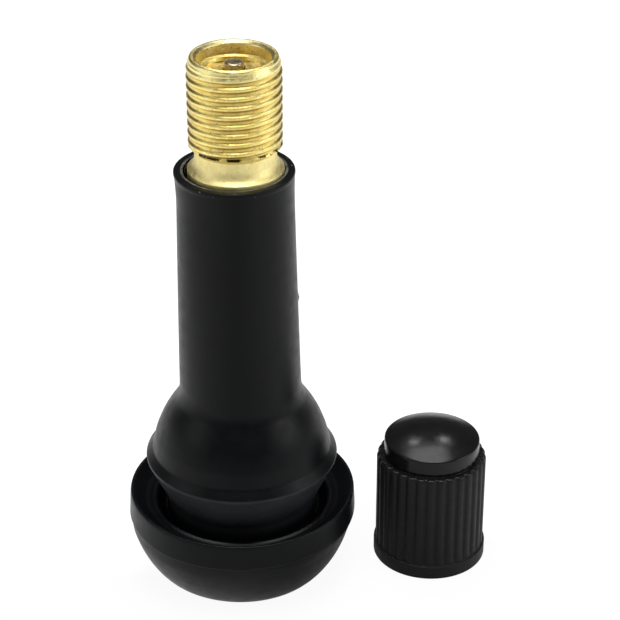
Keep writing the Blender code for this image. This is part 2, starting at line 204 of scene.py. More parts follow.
# Core: the pin and the spring, whose end coils rise by a few wires' thickness
pin_top = 47.949
pin_radius = 0.8
spring_bottom = 39.3
spring_top = 44.599
spring_radius = 1.25
spring_wire = 0.15
spring_turns = 6.5
spring_end_rise = 2.3 * spring_wire
spring_steps = 36
wire_columns = 12

# Turned pieces of the core: radius, height and rounding of each corner
pin_outline = (
    (0, pin_top, 0),
    (0.45, pin_top - 0.01, 0.1),
    (pin_radius, pin_top - 0.05, 0.24),
    (pin_radius, 45.199, 0.03),
    (1.4, 45.199, 0.05),
    (1.4, 44.699, 0.05),
    (0.5, 44.699, 0.03),
    (0.5, 30.949, 0.03),
    (0.85, 30.949, 0.05),
    (0.85, 30.449, 0.12),
    (0, 30.449, 0),
)
barrel_outline = (
    (2.05, 42.999, 0.03),
    (plug_radius, 42.999, 0.08),
    (plug_radius, 41.499, 0.05),
    (1.85, 41.499, 0.05),
    (1.85, 38.899, 0.05),
    (2.05, 38.899, 0.05),
    (2.05, 38.499, 0.05),
    (1.75, 38.499, 0.05),
    (1.75, 32.599, 0.08),
    (1.0, 32.599, 0.05),
    (1.0, 39.199, 0),
    (1.55, 39.199, 0),
    (1.55, 41.999, 0),
    (2.4, 41.999, 0),
    (2.4, 42.649, 0),
    (2.05, 42.649, 0),
    (2.05, 42.9, 0),
)
packing_outline = (
    (1.95, 41.35, 0.04),
    (1.95, 41.399, 0.04),
    (plug_radius, 41.399, 0.08),
    (plug_radius, 40.799, 0.1),
    (2.237, 38.999, 0.08),
    (1.95, 38.999, 0.04),
    (1.95, 39.2, 0.0),
)
cup_outline = (
    (1.8, 32.1, 0),
    (1.8, 32.199, 0.04),
    (2.0, 32.199, 0.06),
    (2.0, 31.049, 0.15),
    (0.6, 31.049, 0.05),
    (0.6, 31.399, 0.03),
    (1.8, 31.399, 0.05),
    (1.8, 31.5, 0),
)
gasket_outline = (
    (0.6, 32.4, 0),
    (0.6, 32.499, 0.04),
    (1.6, 32.499, 0.12),
    (1.7, 32.3, 0.06),
    (1.7, 31.499, 0.06),
    (0.6, 31.499, 0.04),
    (0.6, 31.6, 0),
)

# Rubber body: the rim, the neck, the bulb, the ridge and the groove, the dish and the foot. Rows are
# this far apart at most. The foot's underside is made at shares of its height: first, last, how many
rubber_top = 38.5
rubber_columns = 192
rubber_rows = 0.4
bond_gap = 0.1
bond_top = rubber_top - 0.6
rim_radius = 5.02
rim_bore = 4.23
waist = (4.89, 36.1)
neck_base = (5.265, 18.2)
bulb_base = (7.68, 12.6)
bulb_curve = ((0.10, 0.035), (0.21, 0.125), (0.31, 0.28), (0.40, 0.425), (0.49, 0.555))
bulb_curve += ((0.58, 0.665), (0.67, 0.76), (0.76, 0.84), (0.86, 0.925))
bulb_rounding = 0.4
parting_height = 5.4
foot_radius = 10.04
foot_under_radius = foot_radius - 0.1
underside_radius = 7.2
underside_shares = (0.96, 0.02, 16)
underside_rounding = 0.2
rim_and_neck = (
    (rim_bore, rubber_top - 0.02, 0),
    (rim_bore + 0.06, rubber_top, 0.06),
    (rim_radius, rubber_top, 0.14),
    (rim_radius, rubber_top - 0.3, 0.1),
    (rim_radius - 0.06, rubber_top - 0.48, 0.1),
    (*waist, 1.0),
    (*neck_base, 0.3),
)
ridge_and_dish = (
    (7.8, 12.05, 0.1),
    (8.37, 11.36, 0.12),
    (8.4, 11.18, 0.08),
    (6.8, 7.75, 0.4),
    (6.65, 7.4, 0.3),
    (6.65, 5.7, 0.35),
    (7.2, 6.0, 0.3),
    (7.6, 6.56, 0.3),
    (7.88, 6.64, 0.1),
    (8.02, 6.47, 0.08),
    (9.0, 7.08, 0.2),
    (9.66, 7.69, 0.16),
    (9.88, 7.69, 0.12),
    (9.95, 7.4, 0.1),
    (foot_radius, parting_height + 0.22, 0.1),
    (foot_radius, parting_height, 0.05),
    (foot_radius - 0.12, parting_height - 0.09, 0.03),
)

# The moulding nib on the neck, and the uneven parting line around the foot. Its waves are given by
# how many go around, their size and their turn, and a step stands at one angle
nib_height = 26.5
nib_rise = 0.12
nib_spread = 0.28
nib_width = 0.02
nib_inside = 4.5
parting_spread = 0.32
parting_inside = 9
parting_waves = ((3, 0.05, 0.6), (7, 0.035, 2.0), (17, 0.02, 0.0))
parting_step = 0.14
parting_step_angle = 273.5
parting_step_width = 0.02

# How far the moulded rubber sways to the right of the axis, by height
sway_heights = (0.0, 0.3, 4.2, 5.1, 6.0, 12.0, 17.5, 20.0, 26.0, 31.0, 36.0, 37.9, 38.5)
sway_right = (0.0, -0.12, -0.12, -0.02, 0.02, 0.04, 0.05, 0.02, -0.03, -0.06, -0.08, -0.12, -0.14)

# Cap: its ribs, with shares of their pitch and of their depth, the body and flange, the crown and
# the bore. The dome is made at shares of the crown's radius: first, last, how many
cap_ribs = 32
rib_depth = 0.17
flute_profile = ((0.0, 1.0), (0.07, 0.93), (0.14, 0.69), (0.21, 0.37), (0.29, 0.13), (0.38, 0.03))
flute_profile += ((0.5, 0.0), (0.62, 0.03), (0.71, 0.13), (0.79, 0.37), (0.86, 0.69), (0.93, 0.93))
flute_fade = 0.35
cap_rows = 0.8
cap_radius = 4.85
cap_flange_radius = 5.015
cap_flange_top = 1.22
cap_body_top = 10.22
crown_radius = 4.22
crown_bottom = 10.37
crown_edge = 11.79
cap_top = 12.75
cap_bore = 4.0
cap_minor = 3.6
cap_thread_bottom = 0.75
cap_thread_top = 8.4
cap_thread_fade = 0.5
cap_seal = 8.95
cap_roof = 11.15
dome_shares = (0, 0.93, 14)
cap_outline = (
    (crown_radius, crown_edge + 0.02, 0.14),
    (crown_radius, crown_bottom + 0.12, 0.12),
    (crown_radius - 0.1, crown_bottom, 0.05),
    (crown_radius - 0.1, cap_body_top, 0.06),
    (cap_radius - 0.17, cap_body_top, 0.12),
    (cap_radius, cap_body_top - 0.28, 0.2),
    (cap_radius, cap_flange_top, 0.06),
    (cap_flange_radius, cap_flange_top, 0.1),
    (cap_flange_radius, 0.0, 0.08),
    (cap_bore + 0.3, 0.0, 0.05),
    (cap_bore, 0.3, 0.05),
    (cap_bore, cap_thread_bottom, 0),
)
cap_inside_outline = (
    (cap_bore, cap_thread_top, 0),
    (cap_bore, cap_seal, 0.05),
    (cap_bore - 0.55, cap_seal, 0.05),
    (cap_bore - 0.55, cap_roof, 0.2),
    (0, cap_roof, 0),
)

# Textures: scale, detail and roughness of a noise, then the range of it that is used and, where it
# isn't 0 to 1, what that range becomes
noise_middle = (0.3, 0.7)
rubber_cloud = (0.35, 4.0)
rubber_rough = ((1.1, 5.0), (0.3, 0.75, 0.34, 0.43))
# Patches of the painted highlight on the rim
rim_highlight_cloud = ((1.3, 3.0), (0.35, 0.6, 0.2, 0.8))
brass_cloud = ((0.9, 5.0, 0.6), noise_middle)
brass_rough = (2.4, 5.0, 0.6)
pit_cloud = ((4.6, 4.0, 0.7), (0.585, 0.64))
pit_patch_cloud = ((0.8, 3.0, 0.6), (0.4, 0.6, 0.3, 1.0))
stain_cloud = ((1.6, 6.0, 0.7), (0.60, 0.72))
# For the painted shade in the thread's grooves
groove_shade_cloud = ((1.2, 4.0, 0.6), (0.3, 0.6, 0.6, 1.0))
# For the painted highlights on the thread's crests
crest_highlight_cloud = ((4.2, 3.0, 0.6), (0.57, 0.62))
chip_cloud = ((0.75, 3.0, 0.6), (0.47, 0.53))
steel_cloud = ((2.2, 5.0, 0.65), noise_middle)
steel_rough = ((2.0, 3.0), (*noise_middle, 0.27, 0.36))
seal_cloud = (3.0, 4.0)
seal_rough = ((5.0, 4.0), (*noise_middle, 0.45, 0.6))
plastic_cloud = (0.5, 4.0)
plastic_rough = ((1.6, 5.0), (*noise_middle, -0.03, 0.06))
paper_cloud = (0.05, 4.0)

# Small relief: a noise, its height in millimetres and its strength
rubber_grain = ((14.0, 3.0, 0.6), 0.008, 0.4)
rubber_swell = ((0.8, 2.0), 0.04, 0.3)
brass_dents = ((4.0, 4.0, 0.6), 0.022, 0.7)
steel_grain = ((9.0, 3.0), 0.002, 0.4)
seal_grain = ((12.0,), 0.01, 0.5)
plastic_grain = ((18.0, 3.0, 0.6), 0.006, 0.4)
plastic_swell = ((1.2, 2.0), 0.03, 0.2)
tool_lines = (1.0, 2.0, 0.5)
tool_line_stretch = (0.15, 0.15, 24.0)
tool_line_relief = (0.005, 0.5)
pit_relief = (0.014, 0.9)

# Where marks lie on the rubber, in millimetres. Four values are a window: the mark fades in between
# the first two and out between the last two. Two values run from none of the mark to all of it
# Painted light: a paler band under the ridge, over the groove
light_band_heights = (6.2, 7.6, 11.2, 11.42)
light_band_reach = (8.6, 8.5)
light_band_cloud_range = (0.2, 0.8, 0.7, 1.0)
# Painted highlight: paler arcs on the dish's inner edge, left and right of the middle
dish_highlight_reach = (7.4, 7.65, 7.85, 8.02)
dish_highlight_aside = (0.5, 2.8, 3.6, 6.8)
dish_highlight_heights = (6.9, 6.75)
speck_scale = 2.0
speck_size = (0.17, 0.11)
speck_heights = (rubber_top - 0.5, rubber_top - 0.05)
# Painted highlight: a pale line on the rim's inner edge, where the rubber meets the stem
rim_highlight_shift = 0.14
rim_highlight_reach = (4.46, 4.40)
rim_highlight_heights = (rubber_top - 0.3, rubber_top - 0.1)

# Where marks lie on the brass: the smooth neck, the wall of the mouth and the lip, with painted
# highlights, the sides and the lip's bevel, with painted shade, the thread and the chipped lower edge of
# its blank
# The smooth neck and flare below the thread: rougher, less pitted, and paler as a painted highlight
smooth_heights = (40.9, 40.5)
smooth_pits = (0.0, 1.0, 1.0, 0.3)
smooth_rough = 0.14
# Painted shade: darker at the left and right edges of the stem
edge_shade_aside = (3.0, 3.8)
# Painted highlight: paler on the wall inside the mouth
wall_highlight_heights = (47.3, 47.35)
wall_highlight_reach = (3.08, 3.02)
# Painted highlight: paler around the lip, from the top of the thread up
lip_highlight_heights = (47.4, 47.75, 48.3, 48.45)
# Painted shade: darker on the bevel of the mouth
bevel_shade_heights = (48.2, 48.3)
bevel_shade_reach = (3.36, 3.26)
threaded_heights = (40.9, 41.2, 47.45, 47.75)
chip_heights = (40.72, 40.84, 41.02, 41.14)

# Painted shade on the thread, most of all in front: by the distance aside, and by the groove's shade.
# Painted highlights lie on its crests
front_shade_reach = (3.0, 0.8, 0.3, 0.9)
front_shade_share = (0.3, 0.9, 0.05, 0.35)
groove_shade_range = (0.1, 0.9)
crest_highlight_range = (0.3, 0.0)

# Marks: how strongly each shows, and its colour
# Painted light: the paler band under the ridge
light_band_mark = (1.0, (0.027, 0.029, 0.032, 1.0))
# Painted highlight on the dish's inner edge
dish_highlight_mark = (1.0, (0.075, 0.077, 0.08, 1.0))
speck_mark = (0.8, (0.16, 0.15, 0.12, 1.0))
# Painted highlight on the rim's inner edge
rim_highlight_mark = (1.0, (0.17, 0.17, 0.15, 1.0))
stain_mark = (0.5, (0.50, 0.34, 0.10, 1.0))
# Painted highlight: paler on the smooth neck and flare
neck_highlight_mark = (0.8, (0.98, 0.86, 0.42, 1.0))
# Painted shade at the left and right edges of the stem
edge_shade_mark = (0.45, (0.42, 0.31, 0.15, 1.0))
# Painted highlight on the wall inside the mouth
wall_highlight_mark = (0.85, (1.0, 0.86, 0.40, 1.0))
# Painted highlight around the lip
lip_highlight_mark = (0.7, (1.0, 0.89, 0.42, 1.0))
# Painted shade on the bevel of the mouth
bevel_shade_mark = (0.8, (0.66, 0.57, 0.30, 1.0))
pit_mark = (0.8, (0.20, 0.12, 0.03, 1.0))
# Painted shade: browner in the middle of the thread
front_shade_mark = (1.0, (0.60, 0.44, 0.09, 1.0))
# Painted shade in the thread's grooves
groove_shade_mark = (1.0, (0.40, 0.27, 0.06, 1.0))
# Painted highlights on the thread's crests
crest_highlight_mark = (0.7, (1.0, 0.93, 0.56, 1.0))
chip_mark = (1.0, (0.05, 0.028, 0.010, 1.0))

# Colours of the materials themselves, each from one shade to another
rubber_colours = ((0.0019, 0.0022, 0.0027, 1.0), (0.0036, 0.0040, 0.0047, 1.0))
stem_brass_colours = ((0.98, 0.83, 0.31, 1.0), (0.92, 0.73, 0.22, 1.0))
core_brass_colours = ((0.86, 0.66, 0.28, 1.0), (0.70, 0.48, 0.16, 1.0))
# The pin's steel is brownish, a painted reflection of the brass around it
pin_steel_and_reflection_colours = ((0.31, 0.26, 0.18, 1.0), (0.4185, 0.351, 0.243, 1.0))
wire_colours = ((0.42, 0.41, 0.40, 1.0), (0.567, 0.5535, 0.54, 1.0))
seal_colours = ((0.05, 0.010, 0.008, 1.0), (0.08, 0.018, 0.013, 1.0))
plastic_colours = ((0.0050, 0.0050, 0.0051, 1.0), (0.0080, 0.0080, 0.0081, 1.0))
paper_colours = ((0.82, 0.82, 0.82, 1.0), (0.86, 0.86, 0.86, 1.0))
white = (1.0, 1.0, 1.0, 1.0)

# Gloss: the shine of the rubber, plastic and paper, and the roughness of the paper, of the brass, as
# a range, and of the cap, which is duller on its body than on its crown
rubber_shine = 0.13
plastic_shine = 0.22
paper_shine = 0.1
paper_rough = 0.9
stem_brass_rough = (0.32, 0.48)
core_brass_rough = (0.24, 0.44)
crown_rough = (cap_body_top - 0.3, cap_body_top + 0.1, 0.55, 0.2)

# Studio floor: its own white, and how bright it is in what mirrors it. That is less in front of the
# valve, by the distance aside and by depth, and less again around a place between the two things
floor_radius = 1200
floor_columns = 96
floor_drop = 0.02
floor_glow = 0.94
floor_mirror_glow = 0.9
side_mirror = 1.2
front_mirror = 0.72
front_aside = (8.0, 50.0)
front_depth = (-30.0, 20.0)
gap_mirror = 0.35
gap_place = (5.0, -4.0)
gap_reach = (6.0, 15.0)

# Surroundings, by the direction looked in: bright at the horizon and nearly dark above it, and with a
# horizon that darkens from the front to the back. Heights and turns are parts of a direction of 1
front_horizon = 0.85
back_horizon = 0.10
horizon_turn = (0.1, 0.6)
sky_glow = 0.05
sky_start = 0.13

# Lamps: name, azimuth, elevation, distance, width, height and power, in metres and watts. Azimuth 0
# is behind the object and 90 to its right. They face a point over the origin
lamps = (
    ("overhead", 0, 81, 0.6, 0.36, 0.42, 2.6),
    ("front_top", 180, 74, 0.6, 0.4, 0.22, 1.8),
    ("left_window", -14, 51, 0.6, 0.05, 0.05, 0.2),
    ("right_window", 22, 49, 0.6, 0.05, 0.05, 0.2),
    ("left_fill", -105, 25, 0.5, 0.3, 0.25, 0.36),
    ("right_fill", 105, 25, 0.5, 0.3, 0.25, 0.75),
)
lamp_aim = (0, 0, 0.02)


def rounded(corners):
    """An outline with its corners rounded: each corner is (radius, height, size of the rounding)."""
    points = []
    for i, (r, z, size) in enumerate(corners):
        here = np.array((r, z))
        if not size:
            points.append(here)
            continue
        before = np.array(corners[i - 1][:2]) - here
        after = np.array(corners[i + 1][:2]) - here
        room = corner_room * min(np.linalg.norm(before), np.linalg.norm(after))
        reach = min(size, room)
        start = here + before / np.linalg.norm(before) * reach
        end = here + after / np.linalg.norm(after) * reach
        for share in np.linspace(0, 1, corner_steps):
            points.append((1 - share) ** 2 * start + 2 * share * (1 - share) * here + share**2 * end)
    return np.array(points)


def divided(outline, longest):
    """The outline with points added, so that no stretch is longer than the given length."""
    points = [outline[0]]
    for a, b in zip(outline[:-1], outline[1:]):
        count = max(1, math.ceil(np.linalg.norm(b - a) / longest))
        points += [a + (b - a) * (k + 1) / count for k in range(count)]
    return np.array(points)


def even_angles(columns):
    """Angles of evenly spaced columns, in radians."""
    return 2 * math.pi * np.arange(columns) / columns


def rings(outline, angles):
    """A section of a turned outline: radii, heights and shades, and the shift of its last column.

    Rows are the outline's points and columns are the angles.
    """
    flat = np.ones(len(angles))
    radius = np.outer(outline[:, 0], flat)
    height = np.outer(outline[:, 1], flat)
    return radius, height, np.zeros_like(radius), 0


def helix(angles, pitch, low, high, profile, radius_at, crest):
    """A right-hand thread between two heights, with a crest at the given height on its front side.

    The profile is a list of (share of the pitch, share of the depth). Its rows climb with the thread,
    so that crests and flanks stay crisp. The rows that would pass the two heights are held there,
    where the radius no longer depends on the thread. The result is a section, as in rings, whose
    last column meets the first one turn further up.
    """
    first = crest - front_turn * pitch
    start = first - (math.ceil((first - low) / pitch) + 1) * pitch
    turns = math.ceil((high - start) / pitch) + 1
    phases = np.array([n + phase for n in range(turns) for phase, depth in profile])
    depths = np.array([depth for n in range(turns) for phase, depth in profile])
    shades = np.array([shade_at(phase, depth) for phase, depth in profile])
    climb = pitch * angles / (2 * math.pi)
    height = np.clip(start + phases[:, None] * pitch + climb[None, :], low, high)
    depth = np.broadcast_to(depths[:, None], height.shape)
    radius = radius_at(height, depth)
    shade = np.broadcast_to(np.tile(shades, turns)[:, None], height.shape)
    return radius, height, shade.copy(), len(profile)


def shade_at(phase, depth):
    """Shade of a thread at a share of its pitch: none on a crest, most under the crest above it."""
    return np.clip((phase - shade_start) / shade_span, 0, 1) * (depth > 0)


def grid_faces(rows, columns, first, shift):
    """Quads between neighbouring rows and columns. The last column meets the first, shifted up by rows."""
    index = first + np.arange(rows * columns).reshape(rows, columns)
    a = index[:-1, :-1].ravel()
    b = index[:-1, 1:].ravel()
    c = index[1:, 1:].ravel()
    d = index[1:, :-1].ravel()
    inner = np.stack([a, b, c, d], -1)
    last = index[: rows - 1 - shift, -1]
    seam = np.stack([last, index[shift:-1, 0], index[shift + 1 :, 0], index[1 : rows - shift, -1]], -1)
    return np.concatenate([inner, seam])


def skin(name, sections, angles, axis, material):
    """One closed mesh from sections that share their end rings. It keeps each point's shade."""
    points = []
    faces = []
    shades = []
    first = 0
    for radius, height, shade, shift in sections:
        x = axis[0] + radius * np.cos(angles)
        y = axis[1] + radius * np.sin(angles)
        points.append(np.stack([x, y, height], -1).reshape(-1, 3))
        faces.append(grid_faces(*radius.shape, first, shift))
        shades.append(shade.ravel())
        first += radius.size
    mesh = bpy.data.meshes.new(name)
    mesh.from_pydata((np.concatenate(points) * MM).tolist(), [], np.concatenate(faces).tolist())
    mesh.attributes.new("groove", "FLOAT", "POINT").data.foreach_set("value", np.concatenate(shades))
    return finished(name, mesh, material)


def finished(name, mesh, material):
    """An object from a mesh: doubles merged, faces turned outwards, smooth with crisp edges."""
    bm = bmesh.new()
    bm.from_mesh(mesh)
    bmesh.ops.remove_doubles(bm, verts=bm.verts, dist=merge_distance * MM)
    bmesh.ops.recalc_face_normals(bm, faces=bm.faces)
    bm.to_mesh(mesh)
    bm.free()
    mesh.shade_smooth()
    mesh.set_sharp_from_angle(angle=math.radians(crisp_angle))
    mesh.materials.append(material)
    obj = bpy.data.objects.new(name, mesh)
    bpy.context.scene.collection.objects.link(obj)
    return obj


def turned(name, outline, columns, axis, material):
    """A turned piece with a closed outline, or one that starts and ends on the axis."""
    if outline[0][0] > 0:
        outline = np.vstack([outline, outline[:1]])
    angles = even_angles(columns)
    return skin(name, [rings(outline, angles)], angles, axis, material)


def dress(obj, body, node):
    """The piece rides on its body and stands for its CAD node, which is hidden."""
    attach(obj, body)
    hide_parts(node)


class Finish:
    """A node material, whose textures are laid out in millimetres on the piece itself."""

    def __init__(self, name):
        self.material = bpy.data.materials.new(name)
        self.material.use_nodes = True
        self.tree = self.material.node_tree
        self.shader = self.tree.nodes["Principled BSDF"]
        place = self.add("ShaderNodeTexCoord").outputs["Object"]
        self.place = self.stretched(place, (1 / MM, 1 / MM, 1 / MM))

    def add(self, kind, inputs=None, **settings):
        """A node with its settings and inputs, which are values or other nodes' sockets."""
        node = self.tree.nodes.new(kind)
        for key, value in settings.items():
            setattr(node, key, value)
        for key, value in (inputs or {}).items():
            self.put(node.inputs[key], value)
        return node

    def put(self, socket, value):
        """Sets a socket to a value, or links another node's socket to it."""
        if isinstance(value, bpy.types.NodeSocket):
            self.tree.links.new(value, socket)
        else:
            socket.default_value = value

    def stretched(self, vector, scale):
        """A vector scaled along each axis."""
        return self.add("ShaderNodeMapping", {"Vector": vector, "Scale": scale}).outputs[0]

    def noise(self, scale, detail=3.0, rough=0.5, vector=None):
        """A cloudy value from 0 to 1, with its scale per millimetre."""
        inputs = {"Vector": vector or self.place, "Scale": scale, "Detail": detail, "Roughness": rough}
        return self.add("ShaderNodeTexNoise", inputs).outputs[0]

    def spots(self, scale):
        """The distance to the nearest of many scattered points."""
        return self.add("ShaderNodeTexVoronoi", {"Vector": self.place, "Scale": scale}).outputs["Distance"]

    def maths(self, operation, a, b=0.0):
        """A sum, product or comparison of two values."""
        return self.add("ShaderNodeMath", {0: a, 1: b}, operation=operation).outputs[0]

    def times(self, first, *others):
        """The product of two or more values."""
        for value in others:
            first = self.maths("MULTIPLY", first, value)
        return first

    def between(self, value, low, high, start=0.0, end=1.0):
        """The value moved from one range to another and held within it."""
        inputs = {"Value": value, 1: low, 2: high, 3: start, 4: end}
        return self.add("ShaderNodeMapRange", inputs, interpolation_type="SMOOTHSTEP").outputs[0]

    def window(self, value, edges):
        """1 between the inner two of four edges, fading to 0 at the outer two."""
        low, full, last, high = edges
        return self.times(self.between(value, low, full), self.between(value, high, last))

    def patches(self, cloud):
        """Cloudy patches, from a noise and the range of it that is used."""
        noise, used = cloud
        return self.between(self.noise(*noise), *used)

    def mixed(self, share, a, b):
        """Two colours mixed."""
        return self.add("ShaderNodeMix", {0: share, 6: a, 7: b}, data_type="RGBA").outputs[2]

    def marked(self, colour, place, mark):
        """The colour with a mark over it: the place says where, the mark how strongly and in what colour."""
        strength, tint = mark
        return self.mixed(self.times(place, strength), colour, tint)

    def part(self, axis):
        """One coordinate of the piece, in millimetres."""
        return self.add("ShaderNodeSeparateXYZ", {0: self.place}).outputs[axis]

    def aside(self, axis):
        """The distance to the left or right of an upright axis, in millimetres."""
        return self.maths("ABSOLUTE", self.maths("SUBTRACT", self.part(0), axis[0]))

    def reach(self, axis):
        """The distance from an upright axis, in millimetres."""
        depth = self.maths("ABSOLUTE", self.maths("SUBTRACT", self.part(1), axis[1]))
        squares = self.maths("POWER", self.aside(axis), 2.0), self.maths("POWER", depth, 2.0)
        return self.maths("SQRT", self.maths("ADD", *squares))

    def groove(self):
        """How shaded a point of a thread is, from 0 on a crest to 1 under the crest above it."""
        return self.add("ShaderNodeAttribute", attribute_name="groove").outputs["Fac"]

    def relief(self, height, distance, strength, under=None):
        """Small relief from a value, as a normal for the shader. The distance is in millimetres."""
        inputs = {"Height": height, "Distance": distance * MM, "Strength": strength}
        if under:
            inputs["Normal"] = under
        return self.add("ShaderNodeBump", inputs).outputs[0]

    def bumps(self, texture, under=None):
        """Small relief from a noise, its height and its strength."""
        noise, distance, strength = texture
        return self.relief(self.noise(*noise), distance, strength, under)

    def shade(self, **inputs):
        """Fills the shader's inputs, by name with underscores for spaces."""
        for key, value in inputs.items():
            self.put(self.shader.inputs[key.replace("_", " ")], value)
        return self.material


def rubber_finish():
    """Satin moulded rubber, near black, with fine grain.

    It has a paler band over the groove as painted light, painted highlights on the dish's inner edge,
    specks near its top and a painted highlight on the rim's inner edge, where it meets the stem.
    """
    f = Finish("moulded_rubber")
    height = f.part(2)
    reach = f.reach(valve_axis)
    cloud = f.noise(*rubber_cloud)
    colour = f.mixed(cloud, *rubber_colours)
    # Painted light: a paler band under the ridge, over the groove, in patches
    light_band = f.times(f.window(height, light_band_heights), f.between(reach, *light_band_reach))
    colour = f.marked(colour, f.times(light_band, f.between(cloud, *light_band_cloud_range)), light_band_mark)
    # Painted highlight: paler arcs on the dish's inner edge, left and right of the middle
    dish_highlight = f.times(f.window(reach, dish_highlight_reach), f.window(f.aside(valve_axis), dish_highlight_aside))
    colour = f.marked(colour, f.times(dish_highlight, f.between(height, *dish_highlight_heights)), dish_highlight_mark)
    specks = f.times(f.between(f.spots(speck_scale), *speck_size), f.between(height, *speck_heights))
    colour = f.marked(colour, specks, speck_mark)
    # Painted highlight: a pale line, in patches, on the rim's inner edge
    rim_highlight = f.between(f.reach((valve_axis[0] - rim_highlight_shift, valve_axis[1])), *rim_highlight_reach)
    rim_highlight = f.times(rim_highlight, f.between(height, *rim_highlight_heights), f.patches(rim_highlight_cloud))
    colour = f.marked(colour, rim_highlight, rim_highlight_mark)
    rough = f.patches(rubber_rough)
    relief = f.bumps(rubber_swell, f.bumps(rubber_grain))
    return f.shade(Base_Color=colour, Roughness=rough, Specular_IOR_Level=rubber_shine, Normal=relief)


def brass_finish(name, colours, rough_range):
    """Turned brass: tool lines, pits, stains and chips, with painted highlights and painted shade."""
    f = Finish(name)
    height = f.part(2)
    reach = f.reach(valve_axis)
    aside = f.aside(valve_axis)
    colour = f.mixed(f.patches(brass_cloud), *colours)
    colour = f.marked(colour, f.patches(stain_cloud), stain_mark)
    # The smooth neck and flare: a painted highlight makes them paler, and they are also rougher and less
    # pitted
    smooth = f.between(height, *smooth_heights)
    colour = f.marked(colour, smooth, neck_highlight_mark)
    # Painted shade: darker at the left and right edges of the stem
    colour = f.marked(colour, f.between(aside, *edge_shade_aside), edge_shade_mark)
    # Painted highlight: paler on the wall inside the mouth
    wall_highlight = f.times(f.between(height, *wall_highlight_heights), f.between(reach, *wall_highlight_reach))
    colour = f.marked(colour, wall_highlight, wall_highlight_mark)
    # Painted highlight: paler around the lip, from the top of the thread up
    colour = f.marked(colour, f.window(height, lip_highlight_heights), lip_highlight_mark)
    # Painted shade: darker on the bevel of the mouth
    bevel_shade = f.times(f.between(height, *bevel_shade_heights), f.between(reach, *bevel_shade_reach))
    colour = f.marked(colour, bevel_shade, bevel_shade_mark)
    pits = f.times(f.patches(pit_cloud), f.patches(pit_patch_cloud), f.between(smooth, *smooth_pits))
    colour = f.marked(colour, pits, pit_mark)
    # Painted shade: the thread is browner and darker towards its middle, away from the left and right edges
    ahead = f.between(aside, *front_shade_reach)
    threaded = f.window(height, threaded_heights)
    colour = f.marked(colour, f.times(threaded, f.between(ahead, *front_shade_share)), front_shade_mark)
    # Painted shade: darker in patches in the thread's grooves, under each crest, most of all in the middle
    groove_shade = f.times(f.patches(groove_shade_cloud), ahead, threaded, f.between(f.groove(), *groove_shade_range))
    colour = f.marked(colour, groove_shade, groove_shade_mark)
    # Painted highlights: pale specks on the thread's crests
    crest_highlights = f.times(f.patches(crest_highlight_cloud), f.between(f.groove(), *crest_highlight_range))
    colour = f.marked(colour, crest_highlights, crest_highlight_mark)
    chips = f.times(f.window(height, chip_heights), f.patches(chip_cloud))
    colour = f.marked(colour, chips, chip_mark)
    rough = f.between(f.noise(*brass_rough), *noise_middle, *rough_range)
    rough = f.maths("ADD", rough, f.times(smooth, smooth_rough))
    lines = f.noise(*tool_lines, f.stretched(f.place, tool_line_stretch))
    relief = f.bumps(brass_dents, f.relief(lines, *tool_line_relief))
    relief = f.relief(f.maths("SUBTRACT", 1.0, pits), *pit_relief, relief)
    return f.shade(Base_Color=colour, Metallic=1.0, Roughness=rough, Normal=relief)


def steel_finish(name, colours):
    """Dull steel with faint stains and scratches."""
    f = Finish(name)
    colour = f.mixed(f.patches(steel_cloud), *colours)
    rough = f.patches(steel_rough)
    return f.shade(Base_Color=colour, Metallic=1.0, Roughness=rough, Normal=f.bumps(steel_grain))


def seal_finish():
    """Dark red soft seal."""
    f = Finish("soft_seal")
    colour = f.mixed(f.noise(*seal_cloud), *seal_colours)
    return f.shade(Base_Color=colour, Roughness=f.patches(seal_rough), Normal=f.bumps(seal_grain))


def plastic_finish():
    """Satin black moulded plastic, duller on the ribbed body than on the crown."""
    f = Finish("cap_plastic")
    colour = f.mixed(f.noise(*plastic_cloud), *plastic_colours)
    rough = f.maths("ADD", f.between(f.part(2), *crown_rough), f.patches(plastic_rough))
    relief = f.bumps(plastic_swell, f.bumps(plastic_grain))
    return f.shade(Base_Color=colour, Roughness=rough, Specular_IOR_Level=plastic_shine, Normal=relief)


def fade(height, low, high, length):
    """0 at the two heights, rising to 1 over the given length inside them."""
    inside = np.minimum(height - low, high - height) / length
    return np.clip(inside, 0, 1)


def outer_thread(height, depth):
    """Radius of the stem's threaded part: the thread, cut down by the blank's chamfers."""
    blank = np.interp(height, blank_heights, blank_radii)
    shown = np.clip((thread_end - height) / thread_end_fade, 0, 1)
    shown *= np.clip((height - thread_start) / thread_start_fade, 0, 1)
    return blank - (thread_radius - thread_root) * depth * shown


def bore_thread(height, depth):
    """Radius of the bore's thread, cut outwards from the bore."""
    shown = fade(height, bore_thread_bottom, bore_thread_top, bore_thread_fade)
    return bore_radius + bore_thread_depth * depth * shown


def stem_in_rubber():
    """Corners of the stem inside the rubber, from the flare down to the spigot's end."""
    corners = [(flare_radius, flare_bottom - flare_edge, 0.06)]
    for centre in retention_centres:
        for radius, offset in (
            (flare_radius, retention_mouth),
            (retention_root, retention_floor),
            (retention_root, -retention_floor),
            (flare_radius, -retention_mouth),
        ):
            corners.append((radius, centre + offset, 0.1))
    return corners + [
        (flare_radius, anchor_cone_top, 0.1),
        (anchor_radius, anchor_top, 0.1),
        (anchor_radius, anchor_bottom, 0.1),
        (spigot_radius, spigot_top, 0.1),
        (spigot_radius, spigot_bottom, 0.1),
    ]


